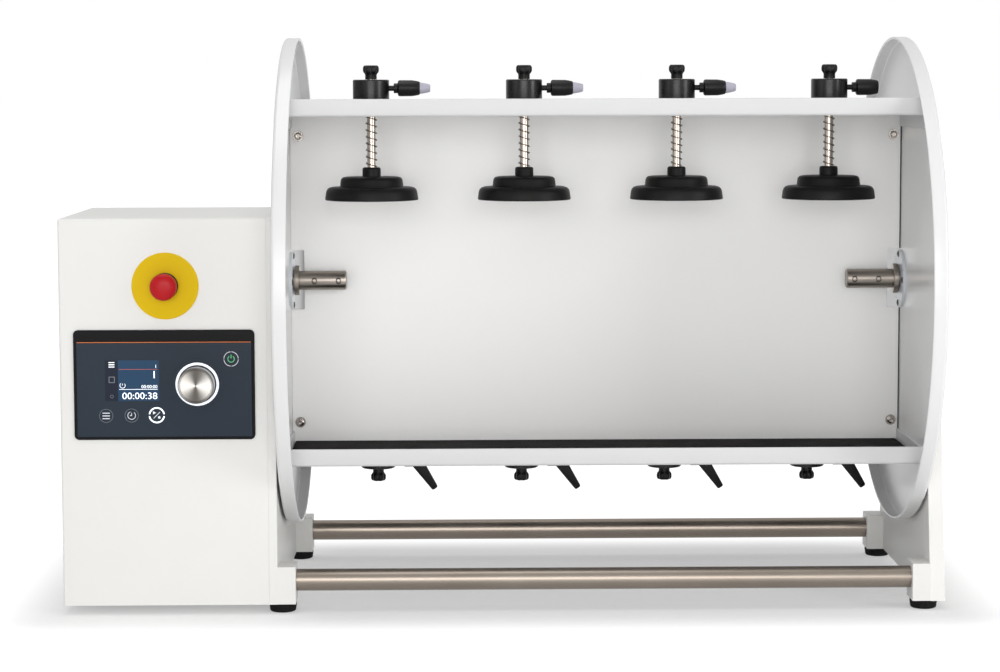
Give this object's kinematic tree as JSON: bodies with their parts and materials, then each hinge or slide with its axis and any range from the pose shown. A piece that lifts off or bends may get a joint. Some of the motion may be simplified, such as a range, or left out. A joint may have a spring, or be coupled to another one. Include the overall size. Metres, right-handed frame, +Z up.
{
  "type": "overhead bottle rotator",
  "caption": "Bench rotator that turns clamped bottles end over end: dished discs carry a panel, two shelves and spring clamps between a drive housing and a side frame.",
  "frame": {"origin": "on the bench under the middle of the object's bounding box", "axes": "+X to the right along the rack axis, +Y to the back, +Z up"},
  "size_m": [0.8054, 0.4624, 0.5252],
  "materials": {
    "powder_coat": "fine textured powder coat, warm white, satin",
    "disc_gloss": "smooth white gloss paint on sheet steel",
    "knob_metal": "spun aluminium face and skirt",
    "rod_steel": "turned stainless steel",
    "shaft_steel": "turned and milled steel",
    "screw_steel": "plated steel",
    "bearing_steel": "ground bearing steel",
    "motor_aluminium": "machined aluminium",
    "black_plastic": "moulded black plastic, fine grain",
    "panel_black": "moulded black plastic, smooth",
    "panel_gloss": "back-printed black acrylic, polished",
    "light_ring": "diffusing light guide",
    "label_yellow": "yellow plastic legend plate, blank",
    "stop_red": "moulded red plastic",
    "foot_rubber": "moulded black rubber",
    "belt_rubber": "ribbed drive belt",
    "mat_rubber": "dark grey rubber mat",
    "supply_case": "perforated sheet case",
    "board": "green circuit board with moulded parts"
  },
  "bodies": {
    "stand": {"housing_cover": "powder_coat", "chassis_tray": "powder_coat", "left_side_frame": "powder_coat", "right_side_frame": "powder_coat", "cross_rods": "rod_steel", "feet": "foot_rubber", "gear_motor": "motor_aluminium", "drive_belt": "belt_rubber", "shaft_bearings": "bearing_steel", "power_supply": "supply_case", "control_board": "board", "panel_bezel": "panel_black", "panel_glass": "panel_gloss", "knob_light_ring": "light_ring", "estop_label": "label_yellow", "estop_body": "black_plastic", "power_inlet": "black_plastic", "housing_screws": "screw_steel"},
    "rack": {"drive_shaft": "shaft_steel", "idler_shaft": "shaft_steel", "driven_pulley": "motor_aluminium", "left_disc": "disc_gloss", "right_disc": "disc_gloss", "center_panel": "disc_gloss", "top_shelf": "disc_gloss", "bottom_shelf": "disc_gloss", "shelf_mats": "mat_rubber", "rack_screws": "screw_steel", "clamp_housings": "black_plastic", "clamp_springs": "screw_steel"},
    "motor_shaft": {"motor_pulley": "motor_aluminium"},
    "encoder_plunger": {"encoder_plunger": "screw_steel"},
    "control_knob": {"control_knob": "knob_metal"},
    "estop_plunger": {"estop_plunger": "black_plastic"},
    "estop_head": {"estop_head": "stop_red"},
    "power_rocker": {"power_rocker": "black_plastic"},
    "plunger_1": {"spindle_1": "rod_steel", "pad_1": "black_plastic"},
    "lever_1": {"lever_1": "black_plastic"},
    "plunger_2": {"spindle_2": "rod_steel", "pad_2": "black_plastic"},
    "lever_2": {"lever_2": "black_plastic"},
    "plunger_3": {"spindle_3": "rod_steel", "pad_3": "black_plastic"},
    "lever_3": {"lever_3": "black_plastic"},
    "plunger_4": {"spindle_4": "rod_steel", "pad_4": "black_plastic"},
    "lever_4": {"lever_4": "black_plastic"},
    "plunger_5": {"spindle_5": "rod_steel", "pad_5": "black_plastic"},
    "lever_5": {"lever_5": "black_plastic"},
    "plunger_6": {"spindle_6": "rod_steel", "pad_6": "black_plastic"},
    "lever_6": {"lever_6": "black_plastic"},
    "plunger_7": {"spindle_7": "rod_steel", "pad_7": "black_plastic"},
    "lever_7": {"lever_7": "black_plastic"},
    "plunger_8": {"spindle_8": "rod_steel", "pad_8": "black_plastic"},
    "lever_8": {"lever_8": "black_plastic"}
  },
  "joints": [
    {"name": "rack_spin", "type": "hinge", "parent": "stand", "child": "rack", "pos_m": [0.0907, 0, 0.294], "axis": [1, 0, 0], "continuous": true},
    {"name": "motor_spin", "type": "hinge", "parent": "stand", "child": "motor_shaft", "pos_m": [-0.2325, 0, 0.15], "axis": [1, 0, 0], "continuous": true},
    {"name": "encoder_press", "type": "slide", "parent": "stand", "child": "encoder_plunger", "axis": [0, 1, 0], "range_m": [0, 0.0006], "stiffness_N_per_m": 800, "springref_m": -0.001},
    {"name": "knob_turn", "type": "hinge", "parent": "encoder_plunger", "child": "control_knob", "pos_m": [-0.2783, -0.15, 0.2115], "axis": [0, -1, 0], "continuous": true},
    {"name": "estop_press", "type": "slide", "parent": "stand", "child": "estop_plunger", "axis": [0, 1, 0], "range_m": [0, 0.004], "stiffness_N_per_m": 1500, "springref_m": -0.002},
    {"name": "estop_twist", "type": "hinge", "parent": "estop_plunger", "child": "estop_head", "pos_m": [-0.3063, -0.155, 0.3005], "axis": [0, -1, 0], "range_deg": [0, 45], "stiffness_Nm_per_rad": 0.05},
    {"name": "power_rock", "type": "hinge", "parent": "stand", "child": "power_rocker", "pos_m": [-0.3547, 0.063, 0.072], "axis": [1, 0, 0], "range_deg": [-16, 0]},
    {"name": "clamp_1_slide", "type": "slide", "parent": "rack", "child": "plunger_1", "axis": [0, 0, 1], "range_m": [0, 0.036], "stiffness_N_per_m": 150, "springref_m": -0.05, "deforming": ["clamp_springs"]},
    {"name": "lever_1_turn", "type": "hinge", "parent": "rack", "child": "lever_1", "pos_m": [-0.1223, -0.066, 0.4775], "axis": [1, 0, 0], "range_deg": [0, 100]},
    {"name": "clamp_2_slide", "type": "slide", "parent": "rack", "child": "plunger_2", "axis": [0, 0, 1], "range_m": [0, 0.036], "stiffness_N_per_m": 150, "springref_m": -0.05, "deforming": ["clamp_springs"]},
    {"name": "lever_2_turn", "type": "hinge", "parent": "rack", "child": "lever_2", "pos_m": [0.0197, -0.066, 0.4775], "axis": [1, 0, 0], "range_deg": [0, 100]},
    {"name": "clamp_3_slide", "type": "slide", "parent": "rack", "child": "plunger_3", "axis": [0, 0, 1], "range_m": [0, 0.036], "stiffness_N_per_m": 150, "springref_m": -0.05, "deforming": ["clamp_springs"]},
    {"name": "lever_3_turn", "type": "hinge", "parent": "rack", "child": "lever_3", "pos_m": [0.1617, -0.066, 0.4775], "axis": [1, 0, 0], "range_deg": [0, 100]},
    {"name": "clamp_4_slide", "type": "slide", "parent": "rack", "child": "plunger_4", "axis": [0, 0, 1], "range_m": [0, 0.036], "stiffness_N_per_m": 150, "springref_m": -0.05, "deforming": ["clamp_springs"]},
    {"name": "lever_4_turn", "type": "hinge", "parent": "rack", "child": "lever_4", "pos_m": [0.3037, -0.066, 0.4775], "axis": [1, 0, 0], "range_deg": [0, 100]},
    {"name": "clamp_5_slide", "type": "slide", "parent": "rack", "child": "plunger_5", "axis": [0, 0, -1], "range_m": [0, 0.036], "stiffness_N_per_m": 150, "springref_m": -0.05, "deforming": ["clamp_springs"]},
    {"name": "lever_5_turn", "type": "hinge", "parent": "rack", "child": "lever_5", "pos_m": [-0.1223, 0.066, 0.1105], "axis": [1, 0, 0], "range_deg": [-60, 60]},
    {"name": "clamp_6_slide", "type": "slide", "parent": "rack", "child": "plunger_6", "axis": [0, 0, -1], "range_m": [0, 0.036], "stiffness_N_per_m": 150, "springref_m": -0.05, "deforming": ["clamp_springs"]},
    {"name": "lever_6_turn", "type": "hinge", "parent": "rack", "child": "lever_6", "pos_m": [0.0197, 0.066, 0.1105], "axis": [1, 0, 0], "range_deg": [-60, 60]},
    {"name": "clamp_7_slide", "type": "slide", "parent": "rack", "child": "plunger_7", "axis": [0, 0, -1], "range_m": [0, 0.036], "stiffness_N_per_m": 150, "springref_m": -0.05, "deforming": ["clamp_springs"]},
    {"name": "lever_7_turn", "type": "hinge", "parent": "rack", "child": "lever_7", "pos_m": [0.1617, 0.066, 0.1105], "axis": [1, 0, 0], "range_deg": [-60, 60]},
    {"name": "clamp_8_slide", "type": "slide", "parent": "rack", "child": "plunger_8", "axis": [0, 0, -1], "range_m": [0, 0.036], "stiffness_N_per_m": 150, "springref_m": -0.05, "deforming": ["clamp_springs"]},
    {"name": "lever_8_turn", "type": "hinge", "parent": "rack", "child": "lever_8", "pos_m": [0.3037, 0.066, 0.1105], "axis": [1, 0, 0], "range_deg": [-60, 60]}
  ],
  "couplings": [
    {"joint": "motor_spin", "follows": "rack_spin", "ratio": 2.5}
  ]
}
